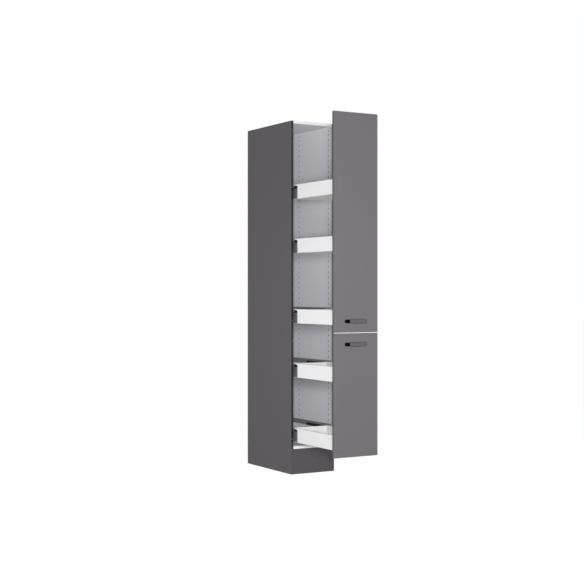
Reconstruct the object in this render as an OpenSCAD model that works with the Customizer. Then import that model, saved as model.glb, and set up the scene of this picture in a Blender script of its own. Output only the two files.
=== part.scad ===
// Pull out larder unit: a tall, narrow cabinet with two fronts that pull out on their own.
// The upper front carries three trays and the lower front carries two.
// Millimetres. X runs across the width, Y from the front plane to the wall, Z up.
// Origin: on the floor, at the middle of the width, in the front plane of the carcass.
// The model is drawn with both pull-outs fully open.

/* [Carcass] */
// Width over both side panels
cabinet_w = 300; // [290:5:400]
// Height from the floor to the top of the side panels
cabinet_h = 2095; // [2060:5:2200]
// Depth from the front plane to the wall
cabinet_d = 545; // [535:5:600]
// Thickness of the carcass boards
board_t = 16; // [15:0.5:18]
// Height of the plinth, which is also where the bottom panel starts
plinth_h = 150; // [120:5:180]
// Thickness of the back panel
back_t = 8; // [5:1:10]
// How far the back panel reaches into the side panels
rebate_w = 8; // [4:1:10]

/* [System holes] */
// Distance between two holes of a column
hole_pitch = 32; // [31.5:0.25:32.5]
// Diameter of a hole
hole_d = 5; // [4.5:0.25:6]
// Depth of a hole
hole_depth = 11; // [10:0.5:13]
// Front column, measured from the front plane
hole_front = 38; // [30:1:50]
// Rear column, measured from the front plane
hole_rear = 388; // [350:1:420]
// Lowest hole above the bottom panel
first_hole_up = 43; // [35:1:48]
// Solid board left above the highest hole of the even pitch
hole_top_margin = 40; // [38:1:60]
// Step from that hole to the extra hole at the top of a column
hole_top_step = 24; // [16:1:28]

/* [Fronts] */
// Thickness of a front
front_t = 16; // [15.5:0.5:19]
// Set-back of a front from the outside of the carcass on each side
front_side_gap = 2; // [1:0.5:4]
// Set-back of the upper front from the top of the carcass
front_top_gap = 2; // [1:0.5:4]
// Height of the lower front
lower_front_h = 698; // [690:1:706]
// Gap between the two fronts
front_gap = 4; // [3:0.5:6]
// Gap between a closed front and the carcass
closed_gap = 2; // [1.5:0.25:3]

/* [Handles] */
// Width of a handle
handle_w = 150; // [120:2:170]
// Height of its cover plate
handle_plate_h = 24; // [22:0.5:30]
// Width of the open finger pocket at the left end
pocket_w = 37; // [28:1:45]
// Height of the finger cup
cup_h = 21; // [15:0.5:22]
// Depth of the finger cup
cup_depth = 13; // [11:0.5:14]
// Wall of the finger cup
cup_wall = 1.2; // [0.8:0.1:2]
// Thickness of the cover plate
plate_t = 2; // [1.5:0.1:3]
// Handle's centre line, measured from the nearest edge of its front
handle_offset = 63; // [50:1:90]
// Groove between a cover plate and its front
plate_groove = 1.3; // [0.3:0.1:1.5]

/* [Pull-outs] */
// Travel of a pull-out
travel = 450; // [400:5:450]
// System hole that carries tray 1, counted from the lowest
tray_1_hole = 47; // [45:1:49]
// System hole that carries tray 2
tray_2_hole = 37; // [33:1:40]
// System hole that carries tray 3
tray_3_hole = 24; // [24:1:28]
// System hole that carries tray 4
tray_4_hole = 14; // [10:1:16]
// System hole that carries tray 5
tray_5_hole = 2; // [2:1:5]
// Height of a tray's rim above the hole that carries it
rim_over_hole = 1.5; // [1:0.5:4]

/* [Trays] */
// Length of a tray
tray_l = 496; // [480:2:500]
// Height of a tray's sides
tray_h = 83.5; // [70:0.5:90]
// Gap between a side panel and the tray's outer skin
tray_gap = 3.5; // [3.2:0.1:5]
// Width of a tray side, from its outer skin to its inner skin
tray_side_w = 15; // [15:0.25:17]
// Thickness of the steel sheet in a tray side
sheet_t = 1; // [0.8:0.1:1.2]
// Length of the outer skin, which stops short of the tray's rear
skin_l = 410; // [300:1:430]
// Length of the nose that the rim makes behind the outer skin
rim_nose_l = 26; // [8:1:30]
// Height of the rim's hem
hem_h = 9; // [4:0.5:12]
// Thickness of the cap that covers the inner skin behind the outer one
cap_t = 1; // [0.6:0.1:1.5]
// Thickness of a tray's base
tray_base_t = 12; // [10:1:16]
// Height of a tray's base above the underside of its sides
tray_base_lift = 1.5; // [0:0.5:3]
// Thickness of a tray's back
tray_back_t = 12; // [10:1:16]
// How far a tray's back stays below the rim
tray_back_drop = 3; // [1:1:20]

/* [Runners] */
// Set-back of a cabinet rail from the front plane
rail_setback = 10; // [8:1:14]
// Length of a cabinet rail
cabinet_rail_l = 500; // [490:2:510]
// Length of an intermediate rail
mid_rail_l = 480; // [460:2:490]
// How far a tray rail ends before the rear end of its tray
tray_rail_rear = 10; // [4:1:30]
// Thickness of the rail steel
rail_t = 1.5; // [1.2:0.1:1.6]
// Height of a cabinet rail above the tray's rim
rail_over_rim = 8; // [7:0.5:10]
// Depth of a cabinet rail below the tray's rim
rail_under_rim = 22; // [20.5:0.5:28]
// Top of an intermediate rail below the tray's rim
mid_rail_drop = 5; // [4:0.25:6]
// Height of an intermediate rail
mid_rail_h = 15; // [13:0.25:15.5]
// Sliding clearance between the runner members
slide_gap = 0.35; // [0.2:0.05:0.4]
// Thickness of the glide bars inside the intermediate rail
bar_t = 3; // [2.5:0.1:3.2]

/* [Fittings] */
// Thickness of bracket steel
bracket_t = 1.5; // [1.2:0.1:2]
// Leg of the wall and plinth brackets
angle_leg = 30; // [24:1:34]
// Diameter of a screw's shank
screw_d = 4; // [3:0.25:4.5]
// Diameter of a screw's head
screw_head_d = 7.5; // [7:0.25:9]
// Height of a screw's head
screw_head_h = 1.2; // [0.8:0.1:1.4]
// Length of a screw under its head
screw_l = 12; // [10:0.5:13]
// Diameter of the wall fixing holes
wall_hole_d = 6; // [5:0.5:8]
// Distance between the two wall fixing holes
wall_hole_pitch = 160; // [140:5:180]
// Diameter of a cam lock
cam_d = 15; // [12:0.5:15]
// Height of a cam lock
cam_h = 12.5; // [10:0.5:13]
// Distance from a side panel to the middle of a cam lock
cam_reach = 34; // [30:0.5:37]
// Diameter of a cam bolt
cam_bolt_d = 6; // [5:0.25:7]
// Diameter of a front buffer
buffer_d = 8; // [6:0.5:10]

/* [Hidden] */
$fn = 48;
ROUND_FN = 64;
EPS = 0.01;
CUT = 1;                 // cuts reach this far past a face
HOLE_CLEAR = 0.1;        // radial room between a fastener and its hole
BUFFER_GAP = 0.3;        // room between a buffer and a closed front
BUFFER_EDGE = 60;        // buffers stay this far from the ends of a front
LOCK_INSET = 60;         // cam locks stay this far from the front and the back
BRACKET_W = 40;          // width of a wall or plinth bracket
PLINTH_BRACKET_Z = 60;
HEM_T = 0.8;             // fold of the rim, added to the sheet's own thickness
SLOT_W = 3.3;            // slot in a tray side that the cabinet rail's leg passes through
LEG_GAP = 1.2;           // room between the outer skin's hem and the leg of the cabinet rail
MID_LEG_GAP = 0.6;       // room between that leg and the intermediate rail
TRAY_RAIL_START = 6;     // tray rails start this far behind the front end of a tray
CAP_GAP = 0.7;           // a cap ends this far below the tray rail
MID_REAR_GAP = 8;        // a closed intermediate rail ends this far before the cabinet rail's end
TONGUE_L = 40;           // length of a front bracket inside the tray side
TONGUE_DROP = 30;        // top of that tongue below the rim
FLANGE_IN = 15.5;        // reach of a front bracket's flange into the tray
FLANGE_FOOT = 3;         // the flange starts this far above the tray's underside
FLANGE_DROP = 6;         // and ends this far below the rim
FLANGE_SCREW_IN = 8.5;   // its screws, measured from the inner skin
FLANGE_SCREW_DROP = 18;  // the upper one, measured down from the rim
FLANGE_SCREW_UP = 13;    // the lower one, measured up from the tray's base
LEG_HOLE = 0.6;          // place of a hole along the leg of an angle bracket
SLOT_L = 9;              // cross slot of a cam lock
SLOT_T = 1.5;
SLOT_DEPTH = 2;

// Carcass
inner_w = cabinet_w - 2 * board_t;
wall_x = -inner_w / 2;                      // inner face of the left side panel
back_y = cabinet_d - back_t;                // inner face of the back panel
deck_z = plinth_h + board_t;                // top of the bottom panel
roof_z = cabinet_h - board_t;               // underside of the top panel

// System holes
first_hole_z = deck_z + first_hole_up;
hole_count = floor((cabinet_h - hole_top_margin - first_hole_z) / hole_pitch) + 1;
function hole_z(n) = first_hole_z + n * hole_pitch;
column_z = concat([for (n = [0:hole_count - 1]) hole_z(n)],
                  [hole_z(hole_count - 1) + hole_top_step]);

// Fronts, drawn fully open
front_w = cabinet_w - 2 * front_side_gap;
front_back_y = -(travel + closed_gap);
front_face_y = front_back_y - front_t;
lower_front_top = plinth_h + lower_front_h;
upper_front_bottom = lower_front_top + front_gap;
upper_front_top = cabinet_h - front_top_gap;
upper_handle_z = upper_front_bottom + handle_offset;
lower_handle_z = lower_front_top - handle_offset;

rail_screw_d = hole_d - 2 * HOLE_CLEAR;     // screws that fill a system hole

// Trays
tray_holes = [tray_1_hole, tray_2_hole, tray_3_hole, tray_4_hole, tray_5_hole];
UPPER_TRAYS = [1, 2, 3];
LOWER_TRAYS = [4, 5];
function rim_z(i) = hole_z(tray_holes[i - 1]) + rim_over_hole;
tray_y = front_back_y + bracket_t;          // front end of a tray
tray_end_y = tray_y + tray_l;
skin_end_y = tray_y + skin_l;               // where the outer skin of its sides ends
skin_x = wall_x + tray_gap;                 // outer face of the left tray side
inner_skin_x = skin_x + tray_side_w;        // its inner face
seat_x = inner_skin_x - sheet_t;            // and the inner skin's face towards the runner
function base_top_z(i) = rim_z(i) - tray_h + tray_base_lift + tray_base_t;

// Runner section, from the side panel inwards
leg_x = skin_x + sheet_t + LEG_GAP;         // leg of the cabinet rail
mid_x = leg_x + rail_t + MID_LEG_GAP;       // outer edge of the intermediate rail
mid_web_x = mid_x + bar_t - slide_gap;      // its web
mid_web_t = rail_t;
mid_w = 2 * (bar_t - slide_gap) + mid_web_t;
bar_h = mid_rail_h - 2 * rail_t - 2 * slide_gap;
tray_bar_x = mid_web_x + mid_web_t + slide_gap;
function bar_z(i) = rim_z(i) - mid_rail_drop - mid_rail_h / 2;   // middle of the glide bars

// Mirrors what is drawn on the left to the right as well
module both_sides() {
    children();
    mirror([1, 0, 0]) children();
}

// A box given by its low corner and its high corner
module box(low, high) {
    translate(low) cube(high - low);
}

// A 2D section in X and Z, extruded along Y
module along_y(y, length) {
    translate([0, y + length, 0]) rotate([90, 0, 0]) linear_extrude(length) children();
}

// A rectangle of such a section
module bar_2d(x0, x1, z0, z1) {
    translate([x0, z0]) square([x1 - x0, z1 - z0]);
}

// A screw that points down, with the underside of its head at the origin
module screw(length = screw_l, d = screw_d) {
    cylinder(d = screw_head_d, h = screw_head_h);
    translate([0, 0, -length]) cylinder(d = d, h = length + EPS);
}

// The hole that a screw needs
module screw_hole(length = screw_l, d = screw_d) {
    translate([0, 0, -length - HOLE_CLEAR])
        cylinder(d = d + 2 * HOLE_CLEAR, h = length + HOLE_CLEAR + CUT);
}

// ---------------------------------------------------------------- places of the fasteners

// Screws of the left cabinet rail of tray i: they point at the side panel
module at_rail_screws(i) {
    for (y = [hole_front, hole_rear])
        translate([wall_x + rail_t, y, rim_z(i) - rim_over_hole]) rotate([0, 90, 0]) children();
}

// Screws of the left front bracket of tray i: they point at the front
module at_flange_screws(i) {
    for (z = [rim_z(i) - FLANGE_SCREW_DROP, base_top_z(i) + FLANGE_SCREW_UP])
        translate([inner_skin_x + FLANGE_SCREW_IN, tray_y, z]) rotate([-90, 0, 0]) children();
}

// Screws of the left plinth bracket, one into the side panel and one into the plinth
module at_plinth_screws() {
    z = PLINTH_BRACKET_Z + BRACKET_W / 2;
    reach = angle_leg * LEG_HOLE;
    translate([wall_x + bracket_t, board_t + reach, z]) rotate([0, 90, 0]) children();
    translate([wall_x + reach, board_t + bracket_t, z]) rotate([-90, 0, 0]) children();
}

// Screws of the wall brackets, up into the top panel
module at_wall_bracket_screws() {
    for (x = [-1, 1] * wall_hole_pitch / 2)
        translate([x, back_y - angle_leg * LEG_HOLE, roof_z - bracket_t]) rotate([180, 0, 0]) children();
}

// Middle of each cam lock at the left side panel, on the underside of its panel
module at_cam_locks() {
    for (y = [LOCK_INSET, back_y - LOCK_INSET], z = [plinth_h, roof_z])
        translate([wall_x + cam_reach, y, z]) children();
}

// ---------------------------------------------------------------- carcass

// Left side panel with its system holes, rebate and screw holes
module side_panel() {
    difference() {
        box([-cabinet_w / 2, 0, 0], [wall_x, cabinet_d, cabinet_h]);
        box([wall_x - rebate_w, back_y, plinth_h], [wall_x + CUT, cabinet_d + CUT, cabinet_h + CUT]);
        for (z = column_z, y = [hole_front, hole_rear])
            translate([wall_x - hole_depth, y, z]) rotate([0, 90, 0])
                cylinder(d = hole_d, h = hole_depth + CUT);
        at_plinth_screws() screw_hole();
        at_cam_locks() translate([-cam_reach - hole_depth, 0, board_t / 2]) rotate([0, 90, 0])
            cylinder(d = hole_d, h = hole_depth + CUT);
    }
}

module side_panel_left() {
    color("dimgray") side_panel();
}

module side_panel_right() {
    color("dimgray") mirror([1, 0, 0]) side_panel();
}

// A panel between the sides, with pockets for its cam locks
module shelf_panel(z) {
    difference() {
        box([wall_x, 0, z], [-wall_x, back_y, z + board_t]);
        both_sides() at_cam_locks() {
            translate([0, 0, -CUT]) cylinder(d = cam_d + 2 * HOLE_CLEAR, h = cam_h + CUT);
            translate([-cam_reach - CUT, 0, board_t / 2]) rotate([0, 90, 0])
                cylinder(d = cam_bolt_d + 2 * HOLE_CLEAR, h = cam_reach + CUT);
        }
        at_wall_bracket_screws() screw_hole();
    }
}

module top_panel() {
    color("white") shelf_panel(roof_z);
}

module bottom_panel() {
    color("white") shelf_panel(plinth_h);
}

module back_panel() {
    color("gainsboro") difference() {
        box([wall_x - rebate_w, back_y, plinth_h], [-wall_x + rebate_w, cabinet_d, cabinet_h]);
        wall_holes();
    }
}

// Holes for the screws into the wall
module wall_holes() {
    for (x = [-1, 1] * wall_hole_pitch / 2)
        translate([x, back_y - angle_leg, roof_z - angle_leg * LEG_HOLE]) rotate([-90, 0, 0])
            cylinder(d = wall_hole_d, h = angle_leg + back_t + CUT);
}

module plinth() {
    color("dimgray") difference() {
        box([wall_x, 0, 0], [-wall_x, board_t, plinth_h]);
        both_sides() at_plinth_screws() screw_hole();
    }
}

module cam_locks() {
    color("silver") both_sides() at_cam_locks() difference() {
        cylinder(d = cam_d, h = cam_h);
        translate([0, 0, -CUT]) linear_extrude(CUT + SLOT_DEPTH) {
            square([SLOT_L, SLOT_T], center = true);
            square([SLOT_T, SLOT_L], center = true);
        }
        translate([-cam_d, 0, board_t / 2]) rotate([0, 90, 0])
            cylinder(d = cam_bolt_d + 2 * HOLE_CLEAR, h = cam_d);
    }
}

// A cam bolt screws into the side panel and reaches into its cam lock
module cam_bolts() {
    color("silver") both_sides() at_cam_locks() translate([0, 0, board_t / 2]) rotate([0, -90, 0]) {
        cylinder(d = cam_bolt_d, h = cam_reach);
        cylinder(d = rail_screw_d, h = cam_reach + hole_depth - HOLE_CLEAR);
    }
}

module plinth_brackets() {
    top = PLINTH_BRACKET_Z + BRACKET_W;
    color("silver") both_sides() difference() {
        union() {
            box([wall_x, board_t, PLINTH_BRACKET_Z], [wall_x + bracket_t, board_t + angle_leg, top]);
            box([wall_x, board_t, PLINTH_BRACKET_Z], [wall_x + angle_leg, board_t + bracket_t, top]);
        }
        at_plinth_screws() screw_hole();
    }
}

module wall_brackets() {
    color("silver") difference() {
        for (x = [-1, 1] * wall_hole_pitch / 2) {
            box([x - BRACKET_W / 2, back_y - angle_leg, roof_z - bracket_t],
                [x + BRACKET_W / 2, back_y, roof_z]);
            box([x - BRACKET_W / 2, back_y - bracket_t, roof_z - angle_leg],
                [x + BRACKET_W / 2, back_y, roof_z]);
        }
        wall_holes();
        at_wall_bracket_screws() screw_hole();
    }
}

// Screws of the plinth brackets and the wall brackets
module carcass_bracket_screws() {
    color("silver") {
        both_sides() at_plinth_screws() screw();
        at_wall_bracket_screws() screw();
    }
}

// Soft pads on the front edges of the side panels
module front_buffers() {
    ends = [plinth_h, lower_front_top, upper_front_bottom, upper_front_top];
    color("gainsboro") both_sides()
        for (n = [0:3])
            translate([wall_x - board_t / 2, 0, ends[n] + (n % 2 == 0 ? 1 : -1) * BUFFER_EDGE])
                rotate([90, 0, 0]) cylinder(d = buffer_d, h = closed_gap - BUFFER_GAP);
}

// ---------------------------------------------------------------- runners

// Cabinet rails of tray i. The wall plate is screwed to the side panel. The rail reaches over the
// tray's outer skin, and its glide bar lies in the outer groove of the intermediate rail.
module cabinet_rails(i) {
    rim = rim_z(i);
    bar_low = bar_z(i) - bar_h / 2;
    color("dimgray") both_sides() difference() {
        along_y(rail_setback, cabinet_rail_l) {
            bar_2d(wall_x, wall_x + rail_t, rim - rail_under_rim, rim + rail_over_rim);
            bar_2d(wall_x, leg_x + rail_t, rim + rail_over_rim - rail_t, rim + rail_over_rim);
            bar_2d(leg_x, leg_x + rail_t, bar_low, rim + rail_over_rim);
            bar_2d(leg_x, mid_x + bar_t - 2 * slide_gap, bar_low, bar_low + bar_h);
        }
        at_rail_screws(i) screw_hole(d = rail_screw_d);
    }
}

// Intermediate rails of tray i: two grooves back to back
module mid_rails(i) {
    top = rim_z(i) - mid_rail_drop;
    closed_y = rail_setback + cabinet_rail_l - MID_REAR_GAP - mid_rail_l;
    color("black") both_sides() along_y(closed_y - travel / 2, mid_rail_l) {
        bar_2d(mid_x, mid_x + mid_w, top - rail_t, top);
        bar_2d(mid_x, mid_x + mid_w, top - mid_rail_h, top - mid_rail_h + rail_t);
        bar_2d(mid_web_x, mid_web_x + mid_web_t, top - mid_rail_h, top);
    }
}

// Tray rails of tray i: a glide bar in the inner groove, on a strip that is fixed to the tray side
module tray_rails(i) {
    top = bar_z(i) + bar_h / 2;
    length = tray_l - TRAY_RAIL_START - tray_rail_rear;
    color("dimgray") both_sides() along_y(tray_y + TRAY_RAIL_START, length) {
        bar_2d(tray_bar_x, seat_x, top - bar_h, top);
        bar_2d(seat_x - rail_t / 2, seat_x, bar_z(i) - bar_h, top);
    }
}

// Screws of all cabinet rails, in the system holes
module rail_screws() {
    color("silver") both_sides() for (i = [1:5])
        at_rail_screws(i) screw(rail_t + hole_depth - HOLE_CLEAR, rail_screw_d);
}

// ---------------------------------------------------------------- trays

// Left side of tray i: one folded sheet with an outer skin, a floor, an inner skin and a top flange
module tray_side(i) {
    rim = rim_z(i);
    low = rim - tray_h;
    nose_end = skin_end_y + rim_nose_l;
    translate([skin_x, 0, 0]) rotate([90, 0, 90]) linear_extrude(sheet_t)
        polygon([[tray_y, low], [skin_end_y, low], [skin_end_y, rim - hem_h],
                 [nose_end, rim - sheet_t], [nose_end, rim], [tray_y, rim]]);
    along_y(tray_y, skin_l)
        bar_2d(skin_x, skin_x + sheet_t + HEM_T, rim - 2 * sheet_t, rim);
    along_y(tray_y, tray_l) {
        bar_2d(skin_x, inner_skin_x, low, low + sheet_t);
        bar_2d(seat_x, inner_skin_x, low, rim);
        bar_2d(skin_x + sheet_t + HEM_T + SLOT_W, inner_skin_x, rim - sheet_t, rim);
    }
}

module tray_side_left(i) {
    color("white") tray_side(i);
}

module tray_side_right(i) {
    color("white") mirror([1, 0, 0]) tray_side(i);
}

// Caps of the trays: thin plates on the inner skins, behind the outer ones and below the runners
module tray_caps(trays) {
    color("gray") both_sides() for (i = trays)
        box([seat_x - cap_t, skin_end_y, rim_z(i) - tray_h + sheet_t],
            [seat_x, tray_end_y, bar_z(i) - bar_h - CAP_GAP]);
}

module tray_base(i) {
    color("white") box([inner_skin_x, tray_y, base_top_z(i) - tray_base_t],
                       [-inner_skin_x, tray_end_y, base_top_z(i)]);
}

module tray_back(i) {
    color("white") box([inner_skin_x, tray_end_y - tray_back_t, base_top_z(i)],
                       [-inner_skin_x, tray_end_y, rim_z(i) - tray_back_drop]);
}

// Steel angles between the trays and their front
module front_brackets(trays) {
    color("silver") both_sides() for (i = trays) difference() {
        rim = rim_z(i);
        union() {
            box([skin_x, front_back_y, rim - tray_h + FLANGE_FOOT],
                [inner_skin_x + FLANGE_IN, tray_y, rim - FLANGE_DROP]);
            box([seat_x - bracket_t, front_back_y, rim - tray_h + FLANGE_FOOT],
                [seat_x, tray_y + TONGUE_L, rim - TONGUE_DROP]);
        }
        at_flange_screws(i) screw_hole();
    }
}

module bracket_screws(trays) {
    color("silver") both_sides() for (i = trays) at_flange_screws(i) screw();
}

// ---------------------------------------------------------------- fronts and handles

// A bar with a round left end, or a round right end, in X and Z
module left_round_2d(x0, x1, h) {
    translate([x0 + h / 2, 0]) circle(d = h, $fn = ROUND_FN);
    translate([x0 + h / 2, -h / 2]) square([x1 - x0 - h / 2, h]);
}

module right_round_2d(x0, x1, h) {
    translate([x1 - h / 2, 0]) circle(d = h, $fn = ROUND_FN);
    translate([x0, -h / 2]) square([x1 - x0 - h / 2, h]);
}

// A 2D shape in X and Z, extruded from one depth in the front to another
module in_front(z, depth_0, depth_1) {
    translate([0, front_face_y + depth_1, z]) rotate([90, 0, 0])
        linear_extrude(depth_1 - depth_0) children();
}

cup_x0 = -handle_w / 2;
cup_x1 = handle_w / 2 - handle_plate_h;
plate_x0 = cup_x0 + pocket_w;
plate_x1 = handle_w / 2;

// Finger cup: open at the left end and covered by the plate further right
module handle_cup(z) {
    color("black") difference() {
        in_front(z, 0, cup_depth) left_round_2d(cup_x0, cup_x1, cup_h);
        in_front(z, -CUT, cup_depth - cup_wall)
            left_round_2d(cup_x0 + cup_wall, cup_x1 - cup_wall, cup_h - 2 * cup_wall);
        in_front(z, -CUT, plate_t) right_round_2d(plate_x0, plate_x1, handle_plate_h);
    }
}

// Cover plate, flush with the front
module handle_plate(z) {
    color("gray") in_front(z, 0, plate_t) right_round_2d(plate_x0, plate_x1, handle_plate_h);
}

// A front board with the seats of its handle and the pilot holes of its brackets
module front_board(low, high, handle_z, trays) {
    color("gray") difference() {
        box([-front_w / 2, front_face_y, low], [front_w / 2, front_back_y, high]);
        in_front(handle_z, -CUT, cup_depth) left_round_2d(cup_x0, cup_x1, cup_h);
        in_front(handle_z, -CUT, plate_t)
            right_round_2d(plate_x0, plate_x1 + plate_groove, handle_plate_h + 2 * plate_groove);
        both_sides() for (i = trays) at_flange_screws(i) screw_hole();
    }
}

module upper_front() {
    front_board(upper_front_bottom, upper_front_top, upper_handle_z, UPPER_TRAYS);
}

module lower_front() {
    front_board(plinth_h, lower_front_top, lower_handle_z, LOWER_TRAYS);
}

// ---------------------------------------------------------------- all nodes

side_panel_left();
side_panel_right();
top_panel();
bottom_panel();
back_panel();
plinth();
cam_locks();
cam_bolts();
plinth_brackets();
wall_brackets();
carcass_bracket_screws();
front_buffers();
rail_screws();
upper_front();
lower_front();
handle_cup(upper_handle_z);  // upper_handle_cup
handle_cup(lower_handle_z);  // lower_handle_cup
handle_plate(upper_handle_z);  // upper_handle_plate
handle_plate(lower_handle_z);  // lower_handle_plate
front_brackets(UPPER_TRAYS);  // upper_front_brackets
front_brackets(LOWER_TRAYS);  // lower_front_brackets
bracket_screws(UPPER_TRAYS);  // upper_bracket_screws
bracket_screws(LOWER_TRAYS);  // lower_bracket_screws
tray_caps(UPPER_TRAYS);  // upper_tray_caps
tray_caps(LOWER_TRAYS);  // lower_tray_caps
for (i = [1:5]) {
    cabinet_rails(i);
    mid_rails(i);
    tray_rails(i);
    tray_side_left(i);
    tray_side_right(i);
    tray_base(i);
    tray_back(i);
}
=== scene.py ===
"""Pull out larder unit: a tall narrow kitchen cabinet with two fronts that draw out on runners.

The file follows the unit as it is put together: studio, carcass, fittings, runners, trays, fronts
and handles. Everything is in metres: +X to the right, +Y to the wall, +Z up.
"""
import math

import bmesh
import bpy
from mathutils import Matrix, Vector


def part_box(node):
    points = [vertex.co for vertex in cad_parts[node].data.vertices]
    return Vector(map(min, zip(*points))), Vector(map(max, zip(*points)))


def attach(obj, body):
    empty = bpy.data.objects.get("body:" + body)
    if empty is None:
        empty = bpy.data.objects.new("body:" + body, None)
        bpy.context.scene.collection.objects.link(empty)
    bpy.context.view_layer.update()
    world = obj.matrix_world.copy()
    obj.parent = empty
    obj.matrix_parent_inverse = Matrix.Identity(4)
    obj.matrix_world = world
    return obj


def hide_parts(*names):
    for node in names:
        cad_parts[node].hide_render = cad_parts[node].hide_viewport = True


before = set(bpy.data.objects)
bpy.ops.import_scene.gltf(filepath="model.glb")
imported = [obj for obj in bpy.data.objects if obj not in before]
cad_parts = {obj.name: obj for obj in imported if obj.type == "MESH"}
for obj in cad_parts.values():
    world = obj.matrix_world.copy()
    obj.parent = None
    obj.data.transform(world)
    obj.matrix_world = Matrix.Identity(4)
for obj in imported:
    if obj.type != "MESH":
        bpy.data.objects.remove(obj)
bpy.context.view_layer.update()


# ---------------------------------------------------------------- Studio
# The unit stands on a white studio floor that runs into a white background. A level camera looks at
# it from the left. A tall soft box stands beside the camera, and three weaker ones fill in: from the
# right, from the left, and towards the top.
EYE = Vector((-3.7299, -6.1459, 1.0802))
EYE_TURN = math.radians(-30.26)
FOCAL_PER_FRAME = 1202.6 / 584
SENSOR = 36
FLOOR_SIZE = 60
FLOOR_WHITE = (0.87, 0.87, 0.87)
FLOOR_SHOWN = 0.82
FLOOR_GLOW = 1.17
SKY = 0.22
SOFT_BOXES = {
    # name: place, aimed at, width, height, power
    "key_box": ((-3.0, -5.2, 1.3), (0.0, -0.2, 1.0), 0.65, 1.2, 240),
    "right_box": ((2.06, -2.95, 1.0), (0.0, -0.2, 1.0), 1.2, 1.2, 12),
    "left_box": ((-1.9, -0.07, 0.9), (0.0, 0.25, 1.0), 0.8, 1.0, 8.5),
    "fill_box": ((-1.09, -3.01, 1.3), (0.0, 0.0, 2.3), 1.2, 0.5, 12),
}


class Value:
    """A socket of a shader's node tree. Arithmetic on it adds Math nodes."""

    def __init__(self, finish, socket):
        self.finish = finish
        self.socket = socket

    def math(self, operation, *terms):
        return self.finish.node("ShaderNodeMath", *terms, operation=operation)

    def __add__(self, other):
        return self.math("ADD", self, other)

    def __mul__(self, other):
        return self.math("MULTIPLY", self, other)

    def __gt__(self, other):
        return self.math("GREATER_THAN", self, other)

    __radd__ = __add__
    __rmul__ = __mul__


class Finish:
    """A material, or the world, in the making."""

    def __init__(self, name, world=None):
        self.owner = world or bpy.data.materials.new(name)
        self.owner.use_nodes = True
        self.tree = self.owner.node_tree
        self.tree.nodes.clear()
        self.place = self.node("ShaderNodeTexCoord", output="Object")

    def node(self, kind, *feeds, output=0, named=None, stops=None, **settings):
        """Adds a node, feeds its sockets by number or by name, and returns one output as a Value."""
        made = self.tree.nodes.new(kind)
        for key, setting in settings.items():
            setattr(made, key, setting)
        if stops:
            ramp = made.color_ramp.elements
            while len(ramp) < len(stops):
                ramp.new(0.5)
            for stop, (position, colour) in zip(ramp, stops):
                stop.position = position
                stop.color = (*colour, 1)
        for socket, feed in [*enumerate(feeds), *(named or {}).items()]:
            if isinstance(feed, Value):
                self.tree.links.new(feed.socket, made.inputs[socket])
            elif feed is not None:
                made.inputs[socket].default_value = feed
        return Value(self, made.outputs[output])

    def stretched(self, scale):
        """Object coordinates with a scale of their own along each axis."""
        return self.node("ShaderNodeMapping", self.place, named={"Scale": scale})

    def noise(self, scale, detail=2.0, place=None):
        return self.node("ShaderNodeTexNoise", place or self.place,
                         named={"Scale": scale, "Detail": detail})

    def cells(self, scale, place=None, output="Distance", **settings):
        return self.node("ShaderNodeTexVoronoi", place or self.place, named={"Scale": scale},
                         output=output, **settings)

    def mix(self, share, first, second):
        return self.node("ShaderNodeMix", named={0: share, 6: first, 7: second}, output=2,
                         data_type="RGBA")

    def shade(self, colour, amount, swing):
        """The colour, made lighter and darker by up to swing as amount goes from 0 to 1."""
        dark = [c * (1 - swing) for c in colour[:3]] + [1]
        light = [min(1, c * (1 + swing)) for c in colour[:3]] + [1]
        return self.mix(amount, dark, light)

    def bump(self, height, depth, strength):
        return self.node("ShaderNodeBump", named={"Height": height, "Distance": depth,
                                                  "Strength": strength})

    def surface(self, shader, kind="ShaderNodeOutputMaterial"):
        """Ends the tree in this shader and returns the material or the world."""
        out = self.tree.nodes.new(kind)
        self.tree.links.new(shader.socket, out.inputs["Surface"])
        return self.owner

    def done(self, **sockets):
        """Ends the material in a Principled shader with these sockets."""
        named = {key.replace("_", " ").title().replace("Ior", "IOR"): feed
                 for key, feed in sockets.items()}
        return self.surface(self.node("ShaderNodeBsdfPrincipled", named=named))


def tone(red, green, blue):
    """A colour from its display values, 0 to 255."""
    return [((c / 255 + 0.055) / 1.055) ** 2.4 for c in (red, green, blue)] + [1]


def seen_directly(finish):
    """1 where the camera, a mirror-like surface or glass looks at the background, else 0."""
    rays = [finish.node("ShaderNodeLightPath", output=output)
            for output in ("Is Camera Ray", "Is Glossy Ray", "Is Transmission Ray")]
    return rays[0] + rays[1] + rays[2] > 0.5


def studio_floor():
    """A white floor that keeps a faint shadow of the unit and glows where it is seen directly."""
    finish = Finish("studio_floor")
    lit = finish.node("ShaderNodeBsdfDiffuse",
                      named={"Color": finish.shade(FLOOR_WHITE, finish.noise(0.7), 0.01)})
    glow = finish.node("ShaderNodeEmission", named={"Strength": FLOOR_GLOW})
    share = seen_directly(finish) * FLOOR_SHOWN
    mesh = bpy.data.meshes.new("studio_floor")
    half = FLOOR_SIZE / 2
    corners = [(-half, -half, 0), (half, -half, 0), (half, half, 0), (-half, half, 0)]
    mesh.from_pydata(corners, [], [(0, 1, 2, 3)])
    mesh.materials.append(finish.surface(finish.node("ShaderNodeMixShader", share, lit, glow)))
    floor = bpy.data.objects.new("studio_floor", mesh)
    bpy.context.scene.collection.objects.link(floor)


def studio_world():
    """A white background that lights the unit only softly."""
    sky = Finish("studio", bpy.data.worlds.new("studio"))
    strength = SKY + seen_directly(sky) * (1 - SKY)
    background = sky.node("ShaderNodeBackground",
                          named={"Color": (1, 1, 1, 1), "Strength": strength})
    bpy.context.scene.world = sky.surface(background, "ShaderNodeOutputWorld")


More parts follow.
